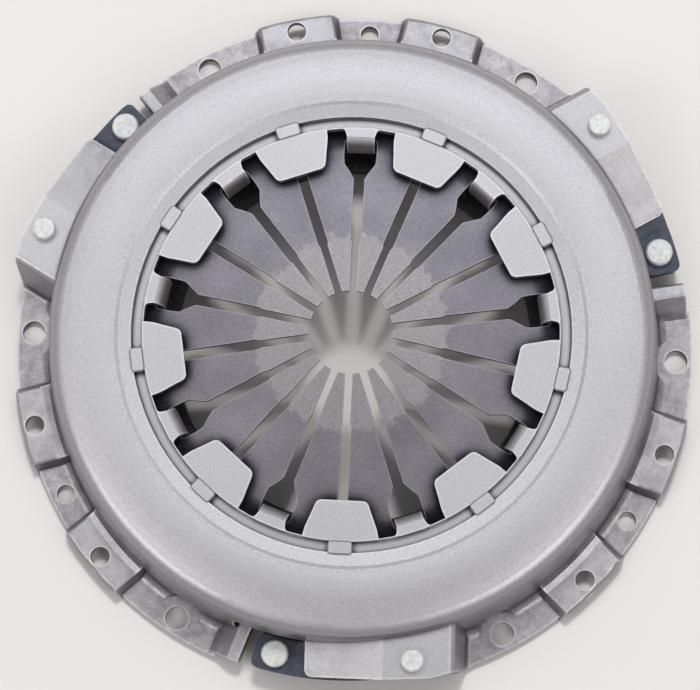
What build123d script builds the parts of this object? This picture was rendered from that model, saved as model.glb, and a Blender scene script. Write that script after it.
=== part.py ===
from build123d import *
import os
from math import cos, hypot, radians, sin, tan

# Diaphragm-spring clutch pressure plate assembly, millimetres.
# z = 0 is the flange face that bolts to the flywheel; +Z points to the release bearing.

# --- cover pressing ---
SHEET = 4.0
FLANGE_R = 129.0
PAD_R = FLANGE_R + 1.0
SKIRT_R = FLANGE_R - 12.5
SKIRT_TOP_R = SKIRT_R - 4.1
SHOULDER_Z = 38.9
CREST_Z = 41.4
FULCRUM_R = SKIRT_TOP_R - 32.9
CREST_R = FULCRUM_R + 18.5
CREASE_R = FULCRUM_R + 7.5
CREASE_Z = 40.5
GROOVE_OUT_R = FULCRUM_R + 2.2
GROOVE_IN_R = FULCRUM_R - 2.0
GROOVE_Z = 36.3
TAB_Z = 40.0
RING_SHEET = 3.5
TAB_TIP_R = FULCRUM_R - 17.1
BEAD_GAP_HALF = 4.6
DOME_FILLET = 6.5
CREST_FILLET = 60.0
SKIRT_FILLET = 4.4
CUT_IN_R = SKIRT_TOP_R - 17.4
CUT_OUT_R = FLANGE_R + 11.0

# --- flange holes ---
BOLT_R = FLANGE_R - 6.0
BOLT_HOLE_R = 4.4
DOWEL_R = BOLT_R + 0.1
DOWEL_HOLE_R = 3.5
PAD_HOLE_CIRCLE_R = BOLT_R + 1.8
PAD_HOLE_R = 3.65
PAD_HOLE_ANGLE = 13.0
PAD_RISE = 6.0
PAD_MID_ANGLE = 12.8
PAD_HALF = 14.2
PAD_RAMP = 2.1
PAD_SOFT = 1.4
SPOT_R = 9.0

# --- drive-strap lug, laid out in a frame turned to the strap's middle ---
SECTORS = (90.0, -30.0, -150.0)
STRAP_MID = -58.8
LUG_Z = 31.5
LUG_SLOPE = 15.0
LUG_START = 41.2
LUG_FOOT = 45.8
LUG_CREASE = 15.0
LUG_END = -14.0
LUG_EDGE_X = FLANGE_R - 2.2
WINDOW_END = -39.5
WINDOW_Z = 24.5
STEP_ANGLE = -79.5
STEP_RISE = 7.5
STEP_END = 6.4

# --- tabs, tongues and notches round the centre opening ---
TABS = 9
TAB_OUT_R = FULCRUM_R - 6.4
TAB_OUT_HALF = 0.1833 * TAB_OUT_R
TAB_IN_HALF = 0.1474 * TAB_TIP_R
TONGUE_ROOT_HALF = 6.1
TONGUE_HALF = 5.2
NOTCH_END_R = FULCRUM_R - 2.5
TONGUE_IN_R = FULCRUM_R - 8.9
TONGUE_LEG = 3.1
TONGUE_TIP_R = FULCRUM_R + 3.9

# --- diaphragm spring ---
SPRING = 2.4
SPRING_OUT_R = SKIRT_TOP_R - 8.4
FULCRUM_Z = 33.3
RIM_ANGLE = 12.0
FINGER_ANGLE = 7.6
BEND_R = 36.0
TIP_ANGLE = 4.5
TIP_R = 15.6
SLOT_HALF = 1.9
TIP_SLOT_HALF = 1.4
SLOT_KINK_R = 34.6
PLAIN_SLOT_END_R = FULCRUM_R - 11.5
WINDOW_OUT_R = FULCRUM_R - 4.9
WINDOW_IN_R = WINDOW_OUT_R - 10.0
WINDOW_NECK_R = WINDOW_OUT_R - 15.8
WINDOW_HALF = 6.1

# --- rings under the spring ---
WIRE_R = 2.0
WIRE_SIDES = 12
RING_SEAT = 0.15
CROWN = 1.0

# --- pressure plate ---
FACE_Z = 2.0
PLATE_IN_R = FULCRUM_R - 11.5
PLATE_OUT_R = SKIRT_TOP_R - 5.9
PLATE_TOP_Z = 14.5
RIDGE_MID_R = SPRING_OUT_R - 3.0
RIDGE_HALF = 3.4
EAR_TOP_Z = 13.6
EAR_BOTTOM_Z = 4.0
EAR_R = FLANGE_R - 1.8
EAR_ANGLES = (-15.4, -7.4)

# --- straps and rivets ---
LEAF = 0.7
LEAVES = 3
STRAP_OUT_R = FLANGE_R - 1.6
STRAP_IN_R = FLANGE_R - 14.5
STRAP_ANGLES = (-15.9, 16.7)
COVER_RIVET = (FLANGE_R - 9.3, 25.8)
PLATE_RIVET = (FLANGE_R - 11.0, -25.4)
COVER_HEAD_R = 4.2
PLATE_HEAD_R = 5.05
PLATE_TAIL_R = 4.6
HEAD_H = 3.5
COVER_SHANK_R = 3.0
PLATE_SHANK_R = 3.5
LEAF_TOP_Z = LUG_Z - SHEET
LEAF_LOW_Z = EAR_TOP_Z + LEAVES * LEAF


def ring_solid(profile):
    """Turn a closed (r, z) face round the Z axis."""
    return revolve(profile, axis=Axis.Z)


def rz_face(points, rounds=()):
    """Closed face in the XZ plane; rounds lists (r, z, radius) for corners to soften."""
    wire = Polyline(*[(r, 0, z) for r, z in points], close=True)
    face = make_face(wire)
    for r, z, radius in rounds:
        corner = face.vertices().sort_by_distance((r, 0, z))[0]
        face = fillet([corner], radius)
    return face


def placed(shape, angle):
    return Rot(0, 0, angle) * shape


def tube(outer, inner, z0, z1):
    height = z1 - z0
    low = (Align.CENTER, Align.CENTER, Align.MIN)
    return Pos(0, 0, z0) * (Cylinder(outer, height, align=low) - Cylinder(inner, height, align=low))


def peg(x, y, z0, z1, radius):
    low = (Align.CENTER, Align.CENTER, Align.MIN)
    return Pos(x, y, z0) * Cylinder(radius, z1 - z0, align=low)


def yz_prism(points, x0, x1, rounds=()):
    """Extrude a closed (y, z) outline along local X; rounds lists (y, z, radius)."""
    face = make_face(Polyline(*[(x0, y, z) for y, z in points], close=True))
    for y, z, radius in rounds:
        corner = face.vertices().sort_by_distance((x0, y, z))[0]
        face = fillet([corner], radius)
    return extrude(face, amount=x1 - x0, dir=(1, 0, 0))


def xy_prism(points, z0, z1, radius=0.0):
    face = make_face(Polyline(*[(x, y, z0) for x, y in points], close=True))
    if radius:
        face = fillet(face.vertices(), radius)
    return extrude(face, amount=z1 - z0, dir=(0, 0, 1))


def at_polar(radius, angle):
    return radius * cos(radians(angle)), radius * sin(radians(angle))


# ---------------------------------------------------------------- cover
def cover_shell():
    t = SHEET
    outer = [
        (FLANGE_R, 0),
        (FLANGE_R, t),
        (SKIRT_R, t),
        (SKIRT_TOP_R, SHOULDER_Z),
        (CREST_R, CREST_Z),
        (CREASE_R + 0.7, CREASE_Z + 0.3),
        (CREASE_R - 0.5, CREASE_Z - 0.2),
        (GROOVE_OUT_R, CREASE_Z - 0.8),
        (GROOVE_OUT_R - 0.5, GROOVE_Z),
        (GROOVE_IN_R + 0.5, GROOVE_Z),
        (GROOVE_IN_R, TAB_Z),
        (TAB_TIP_R - 2, TAB_Z),
    ]
    under = [
        (TAB_TIP_R - 2, TAB_Z - RING_SHEET),
        (GROOVE_IN_R - 0.6, TAB_Z - RING_SHEET),
        (FULCRUM_R - 2.0, FULCRUM_Z + 0.9),
        (FULCRUM_R, FULCRUM_Z),
        (FULCRUM_R + 2.0, FULCRUM_Z + 0.3),
        (GROOVE_OUT_R + 0.9, CREASE_Z - 0.8 - t),
        (CREST_R, CREST_Z - t),
        (SKIRT_TOP_R - t - 2.6, SHOULDER_Z - t + 0.3),
        (SKIRT_TOP_R - t + 0.1, SHOULDER_Z - t - 2.6),
        (SKIRT_R - t - 0.5, 5.0),
        (SKIRT_R - t + 0.7, 1.4),
        (SKIRT_R - t + 4.2, 0),
    ]
    rounds = [
        (SKIRT_R, t, SKIRT_FILLET),
        (SKIRT_TOP_R, SHOULDER_Z, DOME_FILLET),
        (CREST_R, CREST_Z, CREST_FILLET),
    ]
    return ring_solid(rz_face(outer + under, rounds))


def groove_pads():
    """The bead stops short under each tab, so the groove is filled there."""
    pads = []
    for k in range(TABS):
        pad = xy_prism(
            [
                (GROOVE_IN_R - 0.2, -BEAD_GAP_HALF),
                (GROOVE_OUT_R + 0.6, -BEAD_GAP_HALF),
                (GROOVE_OUT_R + 0.6, BEAD_GAP_HALF),
                (GROOVE_IN_R - 0.2, BEAD_GAP_HALF),
            ],
            GROOVE_Z - 0.5,
            CREASE_Z + 0.1,
            1.4,
        )
        pad = chamfer(pad.faces().sort_by(Axis.Z)[-1].edges(), 0.5)
        pads.append(placed(pad, 110 + 40 * k))
    return pads


def notch_cutters():
    """One notch each side of a tongue, plus the opening between the tab tips."""
    cutters = []
    z0 = TAB_Z - RING_SHEET - 4
    z1 = TAB_Z + 3
    half_step = radians(20)
    for k in range(TABS):
        for side in (1, -1):
            root = TONGUE_ROOT_HALF + 0.1
            tab_y = TAB_OUT_R * sin(half_step) - TAB_OUT_HALF * cos(half_step)
            tab_x = TAB_OUT_R * cos(half_step) + TAB_OUT_HALF * sin(half_step)
            tip_y = TAB_TIP_R * sin(half_step) - TAB_IN_HALF * cos(half_step)
            tip_x = TAB_TIP_R * cos(half_step) + TAB_IN_HALF * sin(half_step)
            points = [
                (NOTCH_END_R, side * root),
                (NOTCH_END_R - 0.9, side * (tab_y + 0.4)),
                (tab_x - 0.6, side * tab_y),
                (tip_x, side * tip_y),
                (tip_x - 6, side * (tip_y - 1)),
                (tip_x - 6, side * TONGUE_HALF),
                (TONGUE_IN_R + 3.5, side * TONGUE_HALF),
            ]
            cutter = xy_prism(points, z0, z1)
            edges = cutter.edges().filter_by(Axis.Z)
            ends = edges.sort_by_distance((NOTCH_END_R, side * 8, z0))[:2]
            cutters.append(placed(fillet(ends, 1.5), 90 + 40 * k))
        bar = Box(12.0, 2 * TONGUE_HALF + 2, 12, align=(Align.MAX, Align.CENTER, Align.CENTER))
        cutters.append(placed(Pos(TONGUE_IN_R + 3.4, 0, TAB_Z) * bar, 90 + 40 * k))
    return cutters


def tab_trim():
    """Square the tab tips and round their corners."""
    keep = []
    for k in range(TABS):
        tab = xy_prism(
            [
                (TAB_TIP_R, -TAB_IN_HALF),
                (TAB_TIP_R + 16, -TAB_IN_HALF - 6.2),
                (TAB_TIP_R + 16, TAB_IN_HALF + 6.2),
                (TAB_TIP_R, TAB_IN_HALF),
            ],
            -10,
            10,
        )
        corners = tab.edges().filter_by(Axis.Z).sort_by(Axis.X)[:2]
        keep.append(placed(fillet(corners, 2.6), 110 + 40 * k))
    return Pos(0, 0, TAB_Z) * (Cylinder(TAB_TIP_R + 8, 20) - keep)


def tongues():
    top = TAB_Z
    low = FULCRUM_Z - SPRING - 2 * WIRE_R - RING_SEAT - CROWN
    outer = TONGUE_IN_R + TONGUE_LEG
    points = [
        (GROOVE_IN_R, top),
        (TONGUE_IN_R, top),
        (TONGUE_IN_R, low - TONGUE_LEG),
        (TONGUE_TIP_R, low - TONGUE_LEG),
        (TONGUE_TIP_R, low),
        (outer, low),
        (outer, top - RING_SHEET),
        (GROOVE_IN_R, top - RING_SHEET),
    ]
    rounds = [
        (TONGUE_IN_R, top, 4.9),
        (TONGUE_IN_R, low - TONGUE_LEG, 4.9),
        (outer, low, 1.8),
        (outer, top - RING_SHEET, 1.6),
        (TONGUE_TIP_R, low - TONGUE_LEG, 1.2),
    ]
    face = rz_face(points, rounds)
    tongue = extrude(face, amount=TONGUE_HALF, both=True)
    return [placed(tongue, 90 + 40 * k) for k in range(TABS)]


def pad_outlines():
    top = SHEET + PAD_RISE
    foot = PAD_HALF + PAD_RAMP
    side = SHEET * 0.75
    outside = [
        (-foot - 1, 0),
        (-foot, SHEET),
        (-PAD_HALF, top),
        (PAD_HALF, top),
        (foot, SHEET),
        (foot + 1, 0),
    ]
    inside = [
        (-foot + side + 0.6, -1),
        (-foot + side + 0.6, 0),
        (-PAD_HALF + side, PAD_RISE),
        (PAD_HALF - side, PAD_RISE),
        (foot - side - 0.6, 0),
        (foot - side - 0.6, -1),
    ]
    return outside, inside


def pad_band():
    """Ring section of a pad: a softened rim and a swept foot where it meets the skirt."""
    top = SHEET + PAD_RISE
    points = [
        (SKIRT_TOP_R, 0),
        (PAD_R, 0),
        (PAD_R, top),
        (SKIRT_R + 2.8, top),
        (SKIRT_R + 0.4, top + 0.9),
        (SKIRT_R - 1.2, top + 3.4),
        (SKIRT_TOP_R, top + 3.4),
    ]
    return ring_solid(rz_face(points, [(PAD_R, top, PAD_SOFT)]))


def flange_pads():
    """Six raised pads, each with the hollow pressed up behind it."""
    outside, inside = pad_outlines()
    top = SHEET + PAD_RISE
    softened = [(-PAD_HALF, top, PAD_SOFT), (PAD_HALF, top, PAD_SOFT)]
    pad = yz_prism(outside, CUT_IN_R, CUT_OUT_R, softened)
    inner = SKIRT_R + 2.0
    foot = yz_prism(
        [(-PAD_HALF, top - 2), (-PAD_HALF, top + 4), (PAD_HALF, top + 4), (PAD_HALF, top - 2)],
        CUT_IN_R,
        inner + 1,
    )
    hollow = yz_prism(inside, CUT_IN_R, CUT_OUT_R)
    band = pad_band()
    hollow_band = tube(PAD_R + 5, SKIRT_R - SHEET - 1, -1, CREST_Z)
    pads = []
    hollows = []
    for sector in SECTORS:
        for side in (1, -1):
            angle = sector + side * PAD_MID_ANGLE
            pads.append(placed(pad + foot, angle) & band)
            hollows.append(placed(hollow, angle) & hollow_band)
    return pads, hollows


def lug_outline():
    drop = (LUG_CREASE - LUG_END) * tan(radians(LUG_SLOPE))
    return [
        (LUG_FOOT + 3, 0),
        (LUG_FOOT + 3, SHEET),
        (LUG_FOOT, SHEET),
        (LUG_START, LUG_Z),
        (LUG_CREASE, LUG_Z),
        (LUG_END, LUG_Z - drop),
        (LUG_END, LUG_Z - drop - SHEET),
        (LUG_CREASE + 0.5, LUG_Z - SHEET),
        (LUG_START - 3.4, LUG_Z - SHEET),
        (LUG_FOOT - 4.0, 0),
    ]


def lug_clearance():
    drop = (LUG_CREASE - LUG_END) * tan(radians(LUG_SLOPE))
    return [
        (LUG_FOOT - 4.0, -1),
        (LUG_FOOT - 4.0, 0),
        (LUG_START - 3.4, LUG_Z - SHEET),
        (LUG_CREASE + 0.5, LUG_Z - SHEET),
        (LUG_END, LUG_Z - drop - SHEET),
        (LUG_END - 1.0, WINDOW_Z),
        (WINDOW_END, WINDOW_Z),
        (WINDOW_END - 1.5, WINDOW_Z - 3),
        (WINDOW_END - 1.5, -1),
    ]


def step_outline():
    top = SHEET + STEP_RISE
    return [
        (STEP_END, top),
        (1.3, top),
        (-6.5, SHEET),
        (-12, SHEET),
        (-12, 0),
        (-8.3, 0),
        (-0.6, top - SHEET),
        (STEP_END, top - SHEET),
    ]


def lug_solid():
    softened = [(LUG_START, LUG_Z, 3.0), (LUG_FOOT, SHEET, 2.0)]
    lug = yz_prism(lug_outline(), CUT_IN_R, CUT_OUT_R, softened)
    edge = LUG_EDGE_X
    plan = xy_prism(
        [
            (CUT_IN_R + 1, LUG_END),
            (edge - 0.4, LUG_END),
            (edge + 0.2, LUG_CREASE),
            (edge - 0.8, LUG_START - 9),
            (edge - 3.8, LUG_START + 1),
            (edge - 5.6, LUG_FOOT),
            (edge - 7.2, LUG_FOOT + 3),
            (CUT_IN_R + 1, LUG_FOOT + 3),
        ],
        -2,
        CREST_Z,
    )
    corner = plan.edges().filter_by(Axis.Z).sort_by_distance((edge, LUG_END, 0))[:1]
    plan = fillet(corner, 3.0)
    return lug & plan & tube(CUT_OUT_R, SKIRT_TOP_R - 2.0, -1, CREST_Z)


def cover():
    body = cover_shell()
    body += groove_pads()
    pads, hollows = flange_pads()
    body += pads
    body -= hollows
    window = yz_prism(lug_clearance(), SKIRT_TOP_R - 12.4, CUT_OUT_R)
    body -= [placed(window, sector + STRAP_MID) for sector in SECTORS]
    steps, step_cuts = strap_steps()
    body -= step_cuts
    body += steps
    body += [placed(lug_solid(), sector + STRAP_MID) for sector in SECTORS]
    body -= notch_cutters()
    body -= tab_trim()
    body += tongues()
    body -= flange_holes()
    return body


def strap_steps():
    """The flange steps up beside each strap end."""
    band = tube(FLANGE_R - 1.4, SKIRT_R - 3.4, 0, CREST_Z)
    softened = [(1.3, SHEET + STEP_RISE, 2.0), (STEP_END, SHEET + STEP_RISE, 1.6)]
    step = yz_prism(step_outline(), CUT_IN_R, CUT_OUT_R, softened)
    cut = yz_prism([(-8.3, -1), (-0.6, STEP_RISE), (14, 9), (14, -1)], SKIRT_R - 13.3, CUT_OUT_R)
    turns = [sector + STEP_ANGLE for sector in SECTORS]
    return [placed(step, turn) & band for turn in turns], [placed(cut, turn) for turn in turns]


def flange_holes():
    cutters = []
    for k in range(6):
        x, y = at_polar(BOLT_R, 60 * k)
        cutters.append(peg(x, y, -2, 12, BOLT_HOLE_R))
        cutters.append(peg(x, y, SHEET, SHEET + 9, SPOT_R))
    for sector in SECTORS:
        x, y = at_polar(DOWEL_R, sector)
        cutters.append(peg(x, y, -2, 12, DOWEL_HOLE_R))
        for side in (1, -1):
            x, y = at_polar(PAD_HOLE_CIRCLE_R, sector + side * PAD_HOLE_ANGLE)
            cutters.append(peg(x, y, -2, 14, PAD_HOLE_R))
        hole = peg(*COVER_RIVET, LUG_Z - SHEET - 3, LUG_Z + 3, COVER_SHANK_R)
        cutters.append(placed(hole, sector + STRAP_MID))
    return cutters


# ---------------------------------------------------------------- spring
def spring_top(radius):
    """Height of the spring's upper face at a radius."""
    if radius > FULCRUM_R:
        return FULCRUM_Z - (radius - FULCRUM_R) * tan(radians(RIM_ANGLE))
    if radius > BEND_R:
        return FULCRUM_Z + (FULCRUM_R - radius) * tan(radians(FINGER_ANGLE))
    bend = FULCRUM_Z + (FULCRUM_R - BEND_R) * tan(radians(FINGER_ANGLE))
    return bend + (BEND_R - radius) * tan(radians(TIP_ANGLE))


def slot_outline(wide):
    """Half outline (x, half width) of one finger slot from the centre outwards."""
    half = [(TIP_R - 3, TIP_SLOT_HALF), (SLOT_KINK_R - 0.6, TIP_SLOT_HALF), (SLOT_KINK_R + 0.6, SLOT_HALF)]
    if wide:
        w = WINDOW_HALF
        half += [
            (WINDOW_NECK_R, SLOT_HALF + 0.1),
            (WINDOW_NECK_R + 2.6, w * 0.58),
            (WINDOW_IN_R, w - 0.3),
            (WINDOW_IN_R + 3, w),
            (WINDOW_OUT_R, w),
        ]
    else:
        half += [(PLAIN_SLOT_END_R, SLOT_HALF)]
    return half


def slot_cutter(wide):
    half = slot_outline(wide)
    points = half + [(x, -y) for x, y in reversed(half)]
    cutter = xy_prism(points, 20, 60)
    ends = cutter.edges().filter_by(Axis.Z).sort_by(Axis.X)[-2:]
    cutter = fillet(ends, 2.4 if wide else SLOT_HALF * 0.9)
    if wide:
        return cutter
    return cutter + peg(PLAIN_SLOT_END_R - 1, 0, 20, 60, SLOT_HALF + 0.9)


def diaphragm_spring():
    stops = (SPRING_OUT_R, FULCRUM_R, BEND_R, TIP_R)
    top = [(r, spring_top(r)) for r in stops]
    under = [(r, spring_top(r) - SPRING) for r in reversed(stops)]
    body = ring_solid(rz_face(top + under))
    for k in range(18):
        body = body - placed(slot_cutter(k % 2 == 0), 90 + 20 * k)
    return body


# ---------------------------------------------------------------- rings
def lower_fulcrum_ring():
    """Wire ring; its section is a many-sided wire so that it stays light."""
    z = FULCRUM_Z - SPRING - WIRE_R - RING_SEAT
    section = Plane.XZ * Pos(FULCRUM_R, z) * RegularPolygon(WIRE_R, WIRE_SIDES, False, 180 / WIRE_SIDES)
    return ring_solid(section)


def crown_ring():
    z1 = FULCRUM_Z - SPRING - 2 * WIRE_R - RING_SEAT
    return tube(FULCRUM_R + 3.6, FULCRUM_R - 3.6, z1 - CROWN, z1)


# ---------------------------------------------------------------- pressure plate
def pressure_plate():
    ridge_z = spring_top(RIDGE_MID_R) - SPRING - 0.3
    points = [
        (PLATE_IN_R, FACE_Z),
        (PLATE_OUT_R, FACE_Z),
        (PLATE_OUT_R, PLATE_TOP_Z),
        (RIDGE_MID_R + RIDGE_HALF, PLATE_TOP_Z + 1.2),
        (RIDGE_MID_R + RIDGE_HALF - 0.8, ridge_z - 1.0),
        (RIDGE_MID_R, ridge_z),
        (RIDGE_MID_R - RIDGE_HALF + 0.8, ridge_z - 0.4),
        (RIDGE_MID_R - RIDGE_HALF - 0.6, PLATE_TOP_Z + 1.2),
        (RIDGE_MID_R - RIDGE_HALF - 4, PLATE_TOP_Z),
        (PLATE_IN_R, PLATE_TOP_Z - 1.5),
    ]
    body = ring_solid(rz_face(points, [(PLATE_IN_R, PLATE_TOP_Z - 1.5, 2.0)]))
    gaps = []
    for k in range(9):
        gap = Pos(RIDGE_MID_R, 0, PLATE_TOP_Z + 11.2) * Box(14, 7, 20)
        gaps.append(placed(gap, 110 + 40 * k))
    body -= gaps
    ears = []
    holes = []
    for sector in SECTORS:
        ears.append(placed(plate_ear(), sector + STRAP_MID))
        through = peg(*PLATE_RIVET, 0, 20, PLATE_SHANK_R)
        recess = peg(*PLATE_RIVET, 0, EAR_BOTTOM_Z + 2.5, PLATE_TAIL_R + 0.5)
        holes.append(placed(through + recess, sector + STRAP_MID))
    return body + ears - holes


def plate_ear():
    start, end = EAR_ANGLES
    root = PLATE_OUT_R - 0.5
    plan = xy_prism(
        [
            at_polar(root - 8, start - 4),
            at_polar(root, start),
            at_polar(CUT_OUT_R, start),
            at_polar(CUT_OUT_R, end),
            at_polar(root, end),
            at_polar(root - 8, end + 4),
        ],
        EAR_BOTTOM_Z,
        EAR_TOP_Z,
    )
    ear = plan & tube(EAR_R, root - 9, EAR_BOTTOM_Z, EAR_TOP_Z)
    corners = ear.edges().filter_by(Axis.Z).sort_by(lambda e: -hypot(e.center().X, e.center().Y))[:2]
    return fillet(corners, 2.6)


# ---------------------------------------------------------------- straps and rivets
def strap_plan():
    """Leaf outline: an arc round the rim with rounded corners."""
    start, end = STRAP_ANGLES
    wedge = xy_prism(
        [
            at_polar(STRAP_IN_R - 5, start),
            at_polar(CUT_OUT_R, start),
            at_polar(CUT_OUT_R, end),
            at_polar(STRAP_IN_R - 5, end),
        ],
        0,
        60,
    )
    arc = wedge & tube(STRAP_OUT_R, STRAP_IN_R, 0, 60)
    return fillet(arc.edges().filter_by(Axis.Z), 2.6)


def strap_leaf(index):
    top = LEAF_TOP_Z - index * LEAF
    low = LEAF_LOW_Z - index * LEAF
    a = LUG_CREASE + 1.0
    b = PLATE_RIVET[1] + 8.4
    reach = 40.0
    line = [
        (reach, top),
        (a, top),
        (b, low),
        (-reach, low),
        (-reach, low - LEAF),
        (b, low - LEAF),
        (a, top - LEAF),
        (reach, top - LEAF),
    ]
    leaf = yz_prism(line, CUT_IN_R, CUT_OUT_R) & strap_plan()
    leaf -= peg(*COVER_RIVET, 0, 60, COVER_SHANK_R)
    leaf -= peg(*PLATE_RIVET, 0, 60, PLATE_SHANK_R + 0.3)
    return leaf


def cover_rivet():
    x, y = COVER_RIVET
    base = LEAF_TOP_Z - LEAVES * LEAF
    head = peg(x, y, LUG_Z, LUG_Z + HEAD_H, COVER_HEAD_R)
    head = chamfer(head.faces().sort_by(Axis.Z)[-1].edges(), 0.5)
    shank = peg(x, y, base, LUG_Z, COVER_SHANK_R)
    tail = peg(x, y, base - 2.2, base, COVER_HEAD_R + 0.6)
    tail = chamfer(tail.faces().sort_by(Axis.Z)[0].edges(), 0.6)
    return head + shank + tail


def plate_rivet():
    x, y = PLATE_RIVET
    head = peg(x, y, LEAF_LOW_Z, LEAF_LOW_Z + HEAD_H, PLATE_HEAD_R)
    head = chamfer(head.faces().sort_by(Axis.Z)[-1].edges(), 0.6)
    seat = EAR_BOTTOM_Z + 2.5
    shank = peg(x, y, seat, LEAF_LOW_Z, PLATE_SHANK_R)
    tail = peg(x, y, EAR_BOTTOM_Z + 0.4, seat, PLATE_TAIL_R)
    return head + shank + tail


def save(shape, name):
    shape.label = name
    export_step(shape, f"parts/{name}.step")
    print(name, len(shape.solids()), shape.is_valid, round(shape.volume / 1000, 2), "cm3")


os.makedirs("parts", exist_ok=True)
save(cover(), "cover")
save(diaphragm_spring(), "diaphragm_spring")
save(lower_fulcrum_ring(), "lower_fulcrum_ring")
save(crown_ring(), "crown_ring")
save(pressure_plate(), "pressure_plate")
for number, sector in enumerate(SECTORS, start=1):
    turn = sector + STRAP_MID
    save(placed(cover_rivet(), turn), f"cover_rivet_{number}")
    save(placed(plate_rivet(), turn), f"plate_rivet_{number}")
    for index in range(LEAVES):
        save(placed(strap_leaf(index), turn), f"strap_{number}_leaf_{index + 1}")
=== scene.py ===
from math import cos, radians, sin

import bmesh
import bpy
from bpy.props import FloatProperty, FloatVectorProperty, PointerProperty
from bpy.types import Operator, Panel, PropertyGroup
from mathutils import Matrix, Vector


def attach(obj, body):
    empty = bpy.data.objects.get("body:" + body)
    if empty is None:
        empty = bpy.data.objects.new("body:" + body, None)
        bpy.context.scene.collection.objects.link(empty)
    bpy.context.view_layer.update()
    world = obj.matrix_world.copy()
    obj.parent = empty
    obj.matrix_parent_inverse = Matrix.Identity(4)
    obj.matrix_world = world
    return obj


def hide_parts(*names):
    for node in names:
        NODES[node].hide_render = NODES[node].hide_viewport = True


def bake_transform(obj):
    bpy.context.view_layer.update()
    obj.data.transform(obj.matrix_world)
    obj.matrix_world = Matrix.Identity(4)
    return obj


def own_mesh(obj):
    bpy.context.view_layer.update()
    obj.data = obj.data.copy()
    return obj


bl_info = {
    "name": "Clutch Pressure Plate",
    "version": (1, 0, 0),
    "blender": (4, 5, 0),
    "location": "View3D > Sidebar > Clutch",
    "description": "Dresses a diaphragm-spring clutch cover and sets up its studio",
    "category": "Object",
}

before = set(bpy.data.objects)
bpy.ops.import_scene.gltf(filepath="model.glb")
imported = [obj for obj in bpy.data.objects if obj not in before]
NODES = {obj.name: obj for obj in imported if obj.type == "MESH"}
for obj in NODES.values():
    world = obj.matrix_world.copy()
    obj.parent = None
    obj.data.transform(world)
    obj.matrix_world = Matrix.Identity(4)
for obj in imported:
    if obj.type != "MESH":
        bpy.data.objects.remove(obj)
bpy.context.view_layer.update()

# degrees round the axis: the three equal sectors, and a strap's middle from its sector
SECTORS = (90.0, -30.0, -150.0)
STRAP_TURN = -58.8
COVER_BODY = "cover_body"

# strap leaves, in the frame turned to a strap's middle, metres and degrees
LEAVES = 3
LEAF = 0.0007
STRAP_IN_R = 0.1145
STRAP_OUT_R = 0.1274
STRAP_START = -15.9
STRAP_END = 16.7
STRAP_CORNER = 0.0026
STRAP_BEND_TOP = 0.016
STRAP_BEND_LOW = -0.017
STRAP_TOP_Z = 0.0275
STRAP_LOW_Z = 0.0157
STRAP_STEPS = 44
STRAP_CORNER_STEPS = (0.06, 0.2, 0.4)
STRAP_ACROSS = (-1.0, -0.5, 0.0, 0.5, 1.0)

# heights and radii between which a finish changes, metres
LOW_FLANGE_Z = (0.0062, 0.0072)
STAINED_RIM_Z = (0.022, 0.034)
TURNED_FACE_Z = (0.0021, 0.0024)
FINGER_ZONE_R = (0.0350, 0.0374)

# stage, metres
FLOOR_GAP = 0.0002
FLOOR_HALF = 6.0
AIM = (0.0, 0.0, 0.02)
COOL_LIGHT = (0.92, 0.97, 1.0)
WARM_LIGHT = (1.0, 0.98, 0.96)
WORLD_COLOR = (1.0, 0.95, 0.98, 1)
CARD_RADIUS = 0.2
CARD_PLACE = (0.04, -0.32, 1.22)
CAMERA_PLACE = (0.03854, -0.15966, 1.0443)
CAMERA_AIM = (-0.00083, -0.00173, 0.020)


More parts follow.
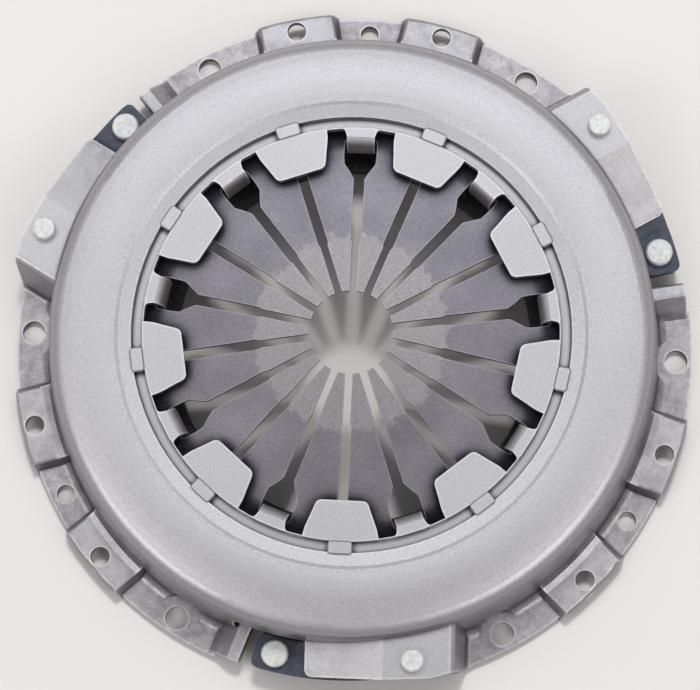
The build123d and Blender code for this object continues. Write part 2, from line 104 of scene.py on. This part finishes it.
# ---------------------------------------------------------------- node helpers
class Shader:
    """Small wrapper that adds nodes to one material and wires them up."""

    def __init__(self, name):
        self.material = bpy.data.materials.new(name)
        self.material.use_nodes = True
        self.tree = self.material.node_tree
        self.bsdf = self.tree.nodes["Principled BSDF"]
        self.coords = self.tree.nodes.new("ShaderNodeTexCoord").outputs["Object"]

    def link(self, source, target):
        self.tree.links.new(source, target)

    def noise(self, scale, detail=4.0, roughness=0.55):
        node = self.tree.nodes.new("ShaderNodeTexNoise")
        node.inputs["Scale"].default_value = scale
        node.inputs["Detail"].default_value = detail
        node.inputs["Roughness"].default_value = roughness
        self.link(self.coords, node.inputs["Vector"])
        return node.outputs["Fac"]

    def specks(self, scale):
        node = self.tree.nodes.new("ShaderNodeTexVoronoi")
        node.inputs["Scale"].default_value = scale
        self.link(self.coords, node.inputs["Vector"])
        return node.outputs["Distance"]

    def ramp(self, source, stops):
        node = self.tree.nodes.new("ShaderNodeValToRGB")
        ramp = node.color_ramp
        while len(ramp.elements) < len(stops):
            ramp.elements.new(0.5)
        for element, (place, value) in zip(ramp.elements, stops):
            element.position = place
            element.color = (value, value, value, 1) if isinstance(value, float) else (*value, 1)
        self.link(source, node.inputs["Fac"])
        return node.outputs["Color"]

    def mix(self, factor, first, second, blend="MIX"):
        node = self.tree.nodes.new("ShaderNodeMix")
        node.data_type = "RGBA"
        node.blend_type = blend
        # of a Mix node's sockets, 0 is the factor and 6 and 7 are its two colours
        for socket, value in (
            (node.inputs[0], factor),
            (node.inputs[6], first),
            (node.inputs[7], second),
        ):
            if isinstance(value, (int, float)):
                socket.default_value = value
            elif isinstance(value, tuple):
                socket.default_value = (*value, 1)
            else:
                self.link(value, socket)
        return node.outputs[2]

    def math(self, operation, first, second=0.0, clamp=False):
        node = self.tree.nodes.new("ShaderNodeMath")
        node.operation = operation
        node.use_clamp = clamp
        for socket, value in zip(node.inputs, (first, second)):
            if isinstance(value, (int, float)):
                socket.default_value = value
            else:
                self.link(value, socket)
        return node.outputs[0]

    def radius(self):
        """Distance from the part's axis, in metres."""
        parts = self.tree.nodes.new("ShaderNodeSeparateXYZ")
        self.link(self.coords, parts.inputs[0])
        square_x = self.math("MULTIPLY", parts.outputs[0], parts.outputs[0])
        square_y = self.math("MULTIPLY", parts.outputs[1], parts.outputs[1])
        return self.math("SQRT", self.math("ADD", square_x, square_y))

    def height(self):
        parts = self.tree.nodes.new("ShaderNodeSeparateXYZ")
        self.link(self.coords, parts.inputs[0])
        return parts.outputs[2]

    def facing_up(self, low, high):
        """0 on walls, 1 on faces that look up."""
        normal = self.tree.nodes.new("ShaderNodeTexCoord").outputs["Normal"]
        parts = self.tree.nodes.new("ShaderNodeSeparateXYZ")
        self.link(normal, parts.inputs[0])
        return self.band(parts.outputs[2], low, high)

    def painted_shade_mask(self, distance, local=True):
        """Mask for painted shade: 0 deep in a corner, 1 in the open."""
        return self.occlusion(distance, local, inside=False)

    def edge(self, distance):
        """1 along outer edges, 0 on open faces."""
        thick = self.occlusion(distance, local=True, inside=True)
        return self.math("SUBTRACT", 1.0, self.band(thick, 0.6, 0.92))

    def occlusion(self, distance, local, inside):
        node = self.tree.nodes.new("ShaderNodeAmbientOcclusion")
        node.samples = 8
        node.inside = inside
        node.only_local = local
        node.inputs["Distance"].default_value = distance
        return node.outputs["AO"]

    def shade(self, color, mask, dark):
        """Multiply a colour by dark where the mask is 0 and leave it where the mask is 1."""
        return self.mix(1.0, color, self.mix(mask, dark, (1.0, 1.0, 1.0)), "MULTIPLY")

    def band(self, value, low, high):
        """0 below low, 1 above high, smooth between."""
        node = self.tree.nodes.new("ShaderNodeMapRange")
        node.interpolation_type = "SMOOTHSTEP"
        node.inputs["From Min"].default_value = low
        node.inputs["From Max"].default_value = high
        self.link(value, node.inputs["Value"])
        return node.outputs["Result"]

    def bump(self, source, strength, distance):
        node = self.tree.nodes.new("ShaderNodeBump")
        node.inputs["Strength"].default_value = strength
        node.inputs["Distance"].default_value = distance
        self.link(source, node.inputs["Height"])
        self.link(node.outputs["Normal"], self.bsdf.inputs["Normal"])

    def finish(self, color, roughness, metallic):
        self.link(color, self.bsdf.inputs["Base Color"])
        if isinstance(roughness, float):
            self.bsdf.inputs["Roughness"].default_value = roughness
        else:
            self.link(roughness, self.bsdf.inputs["Roughness"])
        self.bsdf.inputs["Metallic"].default_value = metallic
        return self.material


def dress(name, material):
    """Give a node's own mesh one material."""
    mesh = NODES[name].data
    mesh.materials.clear()
    mesh.materials.append(material)


def scaled(color, share):
    """A colour made lighter or darker, never above 1."""
    return tuple(min(1.0, part * share) for part in color)


# ---------------------------------------------------------------- finishes
def pressed_steel(settings):
    """Satin pressed sheet: rubbed on top, darker and scaly on its low flange, with painted shade
    on its walls and in its corners and a painted highlight mixed into its rubbed edges.
    """
    s = Shader("pressed steel")
    base = tuple(settings.cover_color)
    stops = [(0.34, scaled(base, 0.70)), (0.5, base), (0.66, scaled(base, 1.18))]
    grain = s.ramp(s.noise(1900, 3), stops)
    color = s.mix(0.6, base, grain)
    color = s.mix(1.0, color, s.ramp(s.noise(18, 3), [(0.36, 0.97), (0.62, 1.0)]), "MULTIPLY")
    low = s.band(s.height(), *LOW_FLANGE_Z)
    scale = s.ramp(s.noise(230, 6, 0.65), [(0.34, (0.70, 0.66, 0.66)), (0.6, (0.98, 0.95, 0.96))])
    color = s.shade(color, low, scale)
    rim = s.band(s.height(), *STAINED_RIM_Z)
    stain = s.ramp(s.noise(120, 6, 0.7), [(0.38, (0.76, 0.73, 0.75)), (0.58, (1.0, 1.0, 1.0))])
    color = s.shade(color, rim, stain)
    # Painted shade: walls and the dome's shoulder darker than the faces that look up.
    color = s.shade(color, s.facing_up(0.35, 0.96), (0.37, 0.355, 0.38))
    # Painted shade in corners, grooves, creases and at the feet of steps.
    color = s.shade(color, s.band(s.painted_shade_mask(0.0022), 0.3, 0.9), (0.20, 0.18, 0.22))
    pits = s.ramp(s.specks(420), [(0.05, 0.4), (0.13, 1.0)])
    rare = s.ramp(s.noise(140, 2), [(0.54, 0.0), (0.62, 1.0)])
    color = s.mix(s.math("MULTIPLY", rare, 0.7), color, s.mix(1.0, color, pits, "MULTIPLY"))
    # Rubbed edges lightened: partly real wear, partly a painted highlight along the edges.
    rub_and_edge_highlight = s.math("MULTIPLY", s.edge(0.0012), s.ramp(s.noise(500, 3), [(0.3, 0.5), (0.6, 1.0)]))
    color = s.mix(s.math("MULTIPLY", rub_and_edge_highlight, 0.65), color, (0.93, 0.93, 0.95))
    rough = s.ramp(s.noise(900, 3), [(0.3, 0.37), (0.7, 0.41)])
    s.bump(s.noise(1600, 4), 0.1, 0.0002)
    return s.finish(color, rough, 0.75)


def spring_steel(settings):
    """Dark peened spring steel with a paler ring worn near the finger tips."""
    s = Shader("spring steel")
    base = tuple(settings.spring_color)
    stops = [(0.3, scaled(base, 0.74)), (0.5, base), (0.7, scaled(base, 1.22))]
    grain = s.ramp(s.noise(1900, 3), stops)
    cloud = s.ramp(s.noise(45, 5), [(0.35, 0.84), (0.65, 1.06)])
    color = s.mix(1.0, grain, cloud, "MULTIPLY")
    worn = tuple(settings.worn_color)
    worn_grain = s.ramp(s.noise(1500, 3), [(0.36, scaled(worn, 0.8)), (0.62, scaled(worn, 1.1))])
    wobble = s.math("MULTIPLY", s.math("SUBTRACT", s.noise(150, 5, 0.7), 0.5), 0.016)
    reach = s.math("ADD", s.radius(), wobble)
    zone = s.band(reach, *FINGER_ZONE_R)
    color = s.mix(zone, worn_grain, color)
    # Painted shade: walls darker than the faces that look up.
    color = s.shade(color, s.facing_up(0.3, 0.85), (0.45, 0.42, 0.46))
    # Painted shadow: the spring is darkened in its corners and under and beside the cover's tabs
    # and other parts above it.
    color = s.shade(color, s.band(s.painted_shade_mask(0.008, local=False), 0.5, 0.99), (0.05, 0.05, 0.07))
    # Painted highlight along the cut edges of the fingers and slots.
    color = s.mix(s.math("MULTIPLY", s.edge(0.0006), 0.35), color, (0.66, 0.64, 0.68))
    rough = s.ramp(s.noise(800, 4), [(0.3, 0.36), (0.7, 0.46)])
    s.bump(s.noise(1500, 3), 0.14, 0.0002)
    return s.finish(color, rough, 0.8)


def drawn_wire():
    """Plain drawn wire, slightly dull."""
    s = Shader("drawn wire")
    base = (0.32, 0.32, 0.34)
    color = s.ramp(s.noise(900, 3), [(0.35, scaled(base, 0.7)), (0.65, base)])
    s.bump(s.noise(1200, 3), 0.15, 0.0001)
    return s.finish(color, 0.42, 0.85)


def cast_iron():
    """Grey sand-cast skin on the casting, turned bright on the friction face."""
    s = Shader("cast iron")
    skin = s.ramp(s.noise(700, 6), [(0.35, (0.06, 0.06, 0.066)), (0.65, (0.13, 0.13, 0.138))])
    turned = s.ramp(s.noise(900, 3), [(0.35, (0.38, 0.38, 0.39)), (0.65, (0.5, 0.5, 0.51))])
    rings = s.tree.nodes.new("ShaderNodeTexWave")
    rings.wave_type = "RINGS"
    rings.rings_direction = "Z"
    rings.inputs["Scale"].default_value = 900
    rings.inputs["Distortion"].default_value = 0.4
    s.link(s.coords, rings.inputs["Vector"])
    turned = s.mix(0.18, turned, rings.outputs["Color"], "MULTIPLY")
    face = s.band(s.height(), *TURNED_FACE_Z)
    color = s.mix(face, turned, skin)
    rough = s.mix(face, (0.3, 0.3, 0.3), (0.62, 0.62, 0.62))
    s.bump(s.math("MULTIPLY", s.noise(500, 6), face), 0.35, 0.0004)
    return s.finish(color, rough, 0.7)


def bright_rivet(settings):
    """Bright upset steel, mottled where the tool struck it."""
    s = Shader("bright rivet")
    base = tuple(settings.rivet_color)
    mottle = s.ramp(s.noise(520, 4), [(0.36, scaled(base, 0.78)), (0.6, base)])
    grain = s.ramp(s.noise(2200, 3), [(0.35, 0.88), (0.65, 1.0)])
    color = s.mix(1.0, mottle, grain, "MULTIPLY")
    s.bump(s.noise(600, 4), 0.3, 0.0002)
    return s.finish(color, 0.45, 0.4)


def blued_strip(settings):
    """Blue-black tempered strip, faintly clouded."""
    s = Shader("blued strip")
    base = tuple(settings.strap_color)
    stops = [(0.34, scaled(base, 0.8)), (0.5, base), (0.68, scaled(base, 1.25))]
    color = s.ramp(s.noise(420, 4), stops)
    s.bump(s.noise(1400, 3), 0.12, 0.0001)
    return s.finish(color, 0.42, 0.6)


def pale_floor(settings):
    """Matt pale floor with the faintest cloud."""
    s = Shader("pale floor")
    base = tuple(settings.floor_color)
    color = s.ramp(s.noise(5, 3), [(0.3, scaled(base, 0.985)), (0.7, base)])
    s.bsdf.inputs["Specular IOR Level"].default_value = 0.1
    return s.finish(color, 0.9, 0.0)


# ---------------------------------------------------------------- strap leaves
def strap_height(y, index):
    """Upper face of a leaf along the strap: level, a straight slope, level."""
    top = STRAP_TOP_Z - index * LEAF
    low = STRAP_LOW_Z - index * LEAF
    share = (y - STRAP_BEND_LOW) / (STRAP_BEND_TOP - STRAP_BEND_LOW)
    return low + (top - low) * min(1.0, max(0.0, share))


def strap_half_width(angle):
    """Half width of the arc-shaped leaf, rounded off at both ends."""
    half = (STRAP_OUT_R - STRAP_IN_R) / 2
    middle = (STRAP_OUT_R + STRAP_IN_R) / 2
    gap = radians(min(STRAP_END - angle, angle - STRAP_START)) * middle
    if gap >= STRAP_CORNER:
        return half
    return half - STRAP_CORNER + max(0.0, STRAP_CORNER**2 - (STRAP_CORNER - gap) ** 2) ** 0.5


def strap_stations():
    """Angles along the leaf, closer together at the rounded ends."""
    run = STRAP_END - STRAP_START
    places = [STRAP_START + run * i / STRAP_STEPS for i in range(STRAP_STEPS + 1)]
    corner = STRAP_CORNER / STRAP_OUT_R / radians(1)
    for end, sign in ((STRAP_START, 1), (STRAP_END, -1)):
        places += [end + sign * corner * share for share in STRAP_CORNER_STEPS]
    return sorted(places)


def strap_leaf(name, index, turn):
    """One leaf as a closed mesh: rings of points along the arc, capped at both ends."""
    mesh = bpy.data.meshes.new(name)
    bm = bmesh.new()
    middle = (STRAP_OUT_R + STRAP_IN_R) / 2
    rows = []
    for angle in strap_stations():
        half = strap_half_width(angle)
        radii = [middle + half * u for u in STRAP_ACROSS]
        spots = [(r * cos(radians(angle)), r * sin(radians(angle))) for r in radii]
        upper = [bm.verts.new((x, y, strap_height(y, index))) for x, y in spots]
        lower = [bm.verts.new((x, y, strap_height(y, index) - LEAF)) for x, y in spots]
        rows.append(upper + lower[::-1])
    size = len(rows[0])
    for near, far in zip(rows, rows[1:]):
        for i in range(size):
            k = (i + 1) % size
            bm.faces.new((near[i], near[k], far[k], far[i]))
    bm.faces.new(rows[0][::-1])
    bm.faces.new(rows[-1])
    bmesh.ops.recalc_face_normals(bm, faces=bm.faces)
    bm.transform(Matrix.Rotation(radians(turn), 4, "Z"))
    bm.to_mesh(mesh)
    bm.free()
    leaf = bpy.data.objects.new(name, mesh)
    bpy.context.scene.collection.objects.link(leaf)
    return leaf


def turned(point, turn):
    """A point carried round the part's axis, in degrees."""
    return Matrix.Rotation(radians(turn), 3, "Z") @ Vector(point)


# ---------------------------------------------------------------- settings
class ClutchFinishSettings(PropertyGroup):
    cover_color: FloatVectorProperty(
        name="Cover", description="Pressed steel colour", subtype="COLOR", size=3,
        default=(0.63, 0.62, 0.645), min=0.0, max=1.0,
    )
    spring_color: FloatVectorProperty(
        name="Spring", description="Spring steel colour", subtype="COLOR", size=3,
        default=(0.285, 0.27, 0.305), min=0.0, max=1.0,
    )
    worn_color: FloatVectorProperty(
        name="Worn ring", description="Colour of the worn finger tips", subtype="COLOR", size=3,
        default=(0.39, 0.365, 0.38), min=0.0, max=1.0,
    )
    rivet_color: FloatVectorProperty(
        name="Rivets", description="Rivet head colour", subtype="COLOR", size=3,
        default=(0.88, 0.89, 0.88), min=0.0, max=1.0,
    )
    strap_color: FloatVectorProperty(
        name="Straps", description="Blued strip colour", subtype="COLOR", size=3,
        default=(0.08, 0.092, 0.12), min=0.0, max=1.0,
    )


class ClutchStageSettings(PropertyGroup):
    floor_color: FloatVectorProperty(
        name="Floor", description="Floor colour", subtype="COLOR", size=3,
        default=(0.80, 0.78, 0.765), min=0.0, max=1.0,
    )
    top_power: FloatProperty(
        name="Top lamp", description="Power of the wide overhead lamp", default=6.8, min=0.0,
        unit="POWER",
    )
    strip_power: FloatProperty(
        name="Strip lamp", description="Power of the narrow lamp behind", default=1.8, min=0.0,
        unit="POWER",
    )
    window_power: FloatProperty(
        name="Window lamp", description="Power of the crisp lamp behind", default=19.0, min=0.0,
        unit="POWER",
    )
    world_strength: FloatProperty(
        name="World", description="Strength of the even light", default=0.26, min=0.0
    )
    fill_power: FloatProperty(
        name="Fill lamps", description="Power of each front lamp", default=4.2, min=0.0,
        unit="POWER",
    )
    lens: FloatProperty(
        name="Lens", description="Focal length in millimetres", default=141.57, min=10.0
    )
    roll: FloatProperty(
        name="Roll", description="Camera roll", default=radians(-11.22), subtype="ANGLE"
    )


# ---------------------------------------------------------------- operators
class CLUTCH_OT_cover(Operator):
    """Copy the diaphragm spring onto the cover body and give it dark spring steel"""

    bl_idname = "clutch.cover"
    bl_label = "Cover"

    def execute(self, context):
        dress("cover", pressed_steel(context.scene.clutch_finish))
        return {"FINISHED"}


class CLUTCH_OT_spring(Operator):
    """Make the flexing diaphragm spring and give it dark spring steel"""

    bl_idname = "clutch.spring"
    bl_label = "Diaphragm spring"

    def execute(self, context):
        material = spring_steel(context.scene.clutch_finish)
        node = NODES["diaphragm_spring"]
        dress("diaphragm_spring", material)
        spring = bpy.data.objects.new("flexing_spring", node.data.copy())
        context.scene.collection.objects.link(spring)
        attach(spring, COVER_BODY)
        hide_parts("diaphragm_spring")
        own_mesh(spring)
        return {"FINISHED"}


class CLUTCH_OT_rings(Operator):
    """Give the fulcrum ring and the crown ring drawn wire"""

    bl_idname = "clutch.rings"
    bl_label = "Fulcrum rings"

    def execute(self, context):
        material = drawn_wire()
        dress("lower_fulcrum_ring", material)
        dress("crown_ring", material)
        return {"FINISHED"}


class CLUTCH_OT_plate(Operator):
    """Give the pressure plate its casting skin and turned face"""

    bl_idname = "clutch.plate"
    bl_label = "Pressure plate"

    def execute(self, context):
        dress("pressure_plate", cast_iron())
        return {"FINISHED"}


class CLUTCH_OT_rivets(Operator):
    """Give all six rivets their bright mottled heads"""

    bl_idname = "clutch.rivets"
    bl_label = "Rivets"

    def execute(self, context):
        material = bright_rivet(context.scene.clutch_finish)
        for number in (1, 2, 3):
            dress(f"cover_rivet_{number}", material)
            dress(f"plate_rivet_{number}", material)
        return {"FINISHED"}


class CLUTCH_OT_straps(Operator):
    """Make the nine strap leaves"""

    bl_idname = "clutch.straps"
    bl_label = "Drive straps"

    def execute(self, context):
        material = blued_strip(context.scene.clutch_finish)
        for number, sector in enumerate(SECTORS, start=1):
            turn = sector + STRAP_TURN
            for index in range(LEAVES):
                node = f"strap_{number}_leaf_{index + 1}"
                leaf = strap_leaf(f"flexing_{node}", index, turn)
                leaf.data.materials.append(material)
                dress(node, material)
                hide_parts(node)
                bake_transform(leaf)
        return {"FINISHED"}


def area_lamp(name, place, size, power, color):
    """A rectangular soft lamp that looks at the part."""
    data = bpy.data.lights.new(name, "AREA")
    data.shape = "RECTANGLE"
    data.size, data.size_y = size
    data.energy = power
    data.color = color
    lamp = bpy.data.objects.new(name, data)
    bpy.context.scene.collection.objects.link(lamp)
    lamp.location = place
    lamp.rotation_euler = (Vector(AIM) - Vector(place)).to_track_quat("-Z", "Y").to_euler()
    return lamp


class CLUTCH_OT_stage(Operator):
    """Lay the floor, hang the lamps and place the camera"""

    bl_idname = "clutch.stage"
    bl_label = "Stage"

    def execute(self, context):
        settings = context.scene.clutch_stage
        mesh = bpy.data.meshes.new("floor")
        bm = bmesh.new()
        bmesh.ops.create_grid(bm, x_segments=1, y_segments=1, size=FLOOR_HALF)
        bm.to_mesh(mesh)
        bm.free()
        floor = bpy.data.objects.new("floor", mesh)
        context.scene.collection.objects.link(floor)
        floor.location.z = -FLOOR_GAP
        mesh.materials.append(pale_floor(settings))
        area_lamp("top lamp", (0.0, 0.6, 1.6), (2.2, 1.1), settings.top_power, COOL_LIGHT)
        area_lamp("strip lamp", (0.0, 0.85, 1.6), (1.6, 0.3), settings.strip_power, COOL_LIGHT)
        window = area_lamp(
            "window lamp", (0.05, 0.74, 1.98), (0.28, 0.28), settings.window_power, WARM_LIGHT
        )
        window.visible_glossy = False
        for side in (-1, 1):
            place = (side * 0.8, -0.6, 1.3)
            area_lamp("fill lamp", place, (0.9, 0.7), settings.fill_power, WARM_LIGHT)
        dark_card(context)
        world = bpy.data.worlds.new("studio")
        world.use_nodes = True
        background = world.node_tree.nodes["Background"]
        background.inputs["Color"].default_value = WORLD_COLOR
        background.inputs["Strength"].default_value = settings.world_strength
        context.scene.world = world
        place_camera(context, settings)
        context.scene.view_settings.view_transform = "Standard"
        return {"FINISHED"}


def dark_card(context):
    """Unlit disc above the front rim, seen only as a mirror image in the metal."""
    mesh = bpy.data.meshes.new("dark card")
    bm = bmesh.new()
    bmesh.ops.create_circle(bm, cap_ends=True, segments=48, radius=CARD_RADIUS)
    bm.to_mesh(mesh)
    bm.free()
    card = bpy.data.objects.new("dark card", mesh)
    context.scene.collection.objects.link(card)
    card.location = CARD_PLACE
    shader = Shader("dark card")
    black = shader.ramp(shader.noise(9), [(0.3, 0.02), (0.7, 0.03)])
    mesh.materials.append(shader.finish(black, 0.9, 0.0))
    for flag in ("camera", "diffuse", "transmission", "shadow", "volume_scatter"):
        setattr(card, f"visible_{flag}", False)


def place_camera(context, settings):
    """Camera level with the horizon, then rolled about its own axis."""
    data = bpy.data.cameras.new("camera")
    data.sensor_width = 36.0
    data.lens = settings.lens
    data.clip_start = 0.05
    data.clip_end = 20.0
    camera = bpy.data.objects.new("camera", data)
    context.scene.collection.objects.link(camera)
    place = Vector(CAMERA_PLACE)
    look = (Vector(CAMERA_AIM) - place).normalized()
    right = look.cross(Vector((0, 0, 1))).normalized()
    up = right.cross(look)
    level = Matrix((right, up, -look)).transposed().to_4x4()
    camera.matrix_world = (
        Matrix.Translation(place) @ level @ Matrix.Rotation(settings.roll, 4, "Z")
    )
    context.scene.camera = camera


# ---------------------------------------------------------------- panel
OPERATORS = (
    CLUTCH_OT_cover,
    CLUTCH_OT_spring,
    CLUTCH_OT_rings,
    CLUTCH_OT_plate,
    CLUTCH_OT_rivets,
    CLUTCH_OT_straps,
    CLUTCH_OT_stage,
)


class CLUTCH_PT_panel(Panel):
    """Lists the pieces of the clutch pressure plate"""

    bl_idname = "CLUTCH_PT_panel"
    bl_label = "Clutch pressure plate"
    bl_space_type = "VIEW_3D"
    bl_region_type = "UI"
    bl_category = "Clutch"

    def draw(self, context):
        layout = self.layout
        for operator in OPERATORS:
            layout.operator(operator.bl_idname)
        for group in (context.scene.clutch_finish, context.scene.clutch_stage):
            for name in group.__annotations__:
                layout.prop(group, name)


CLASSES = (ClutchFinishSettings, ClutchStageSettings, *OPERATORS, CLUTCH_PT_panel)


def register():
    for item in CLASSES:
        bpy.utils.register_class(item)
    bpy.types.Scene.clutch_finish = PointerProperty(type=ClutchFinishSettings)
    bpy.types.Scene.clutch_stage = PointerProperty(type=ClutchStageSettings)


def unregister():
    del bpy.types.Scene.clutch_stage
    del bpy.types.Scene.clutch_finish
    for item in reversed(CLASSES):
        bpy.utils.unregister_class(item)


def main():
    register()
    bpy.ops.clutch.cover()
    bpy.ops.clutch.spring()
    bpy.ops.clutch.rings()
    bpy.ops.clutch.plate()
    bpy.ops.clutch.rivets()
    bpy.ops.clutch.straps()
    bpy.ops.clutch.stage()


if __name__ == "__main__":
    main()
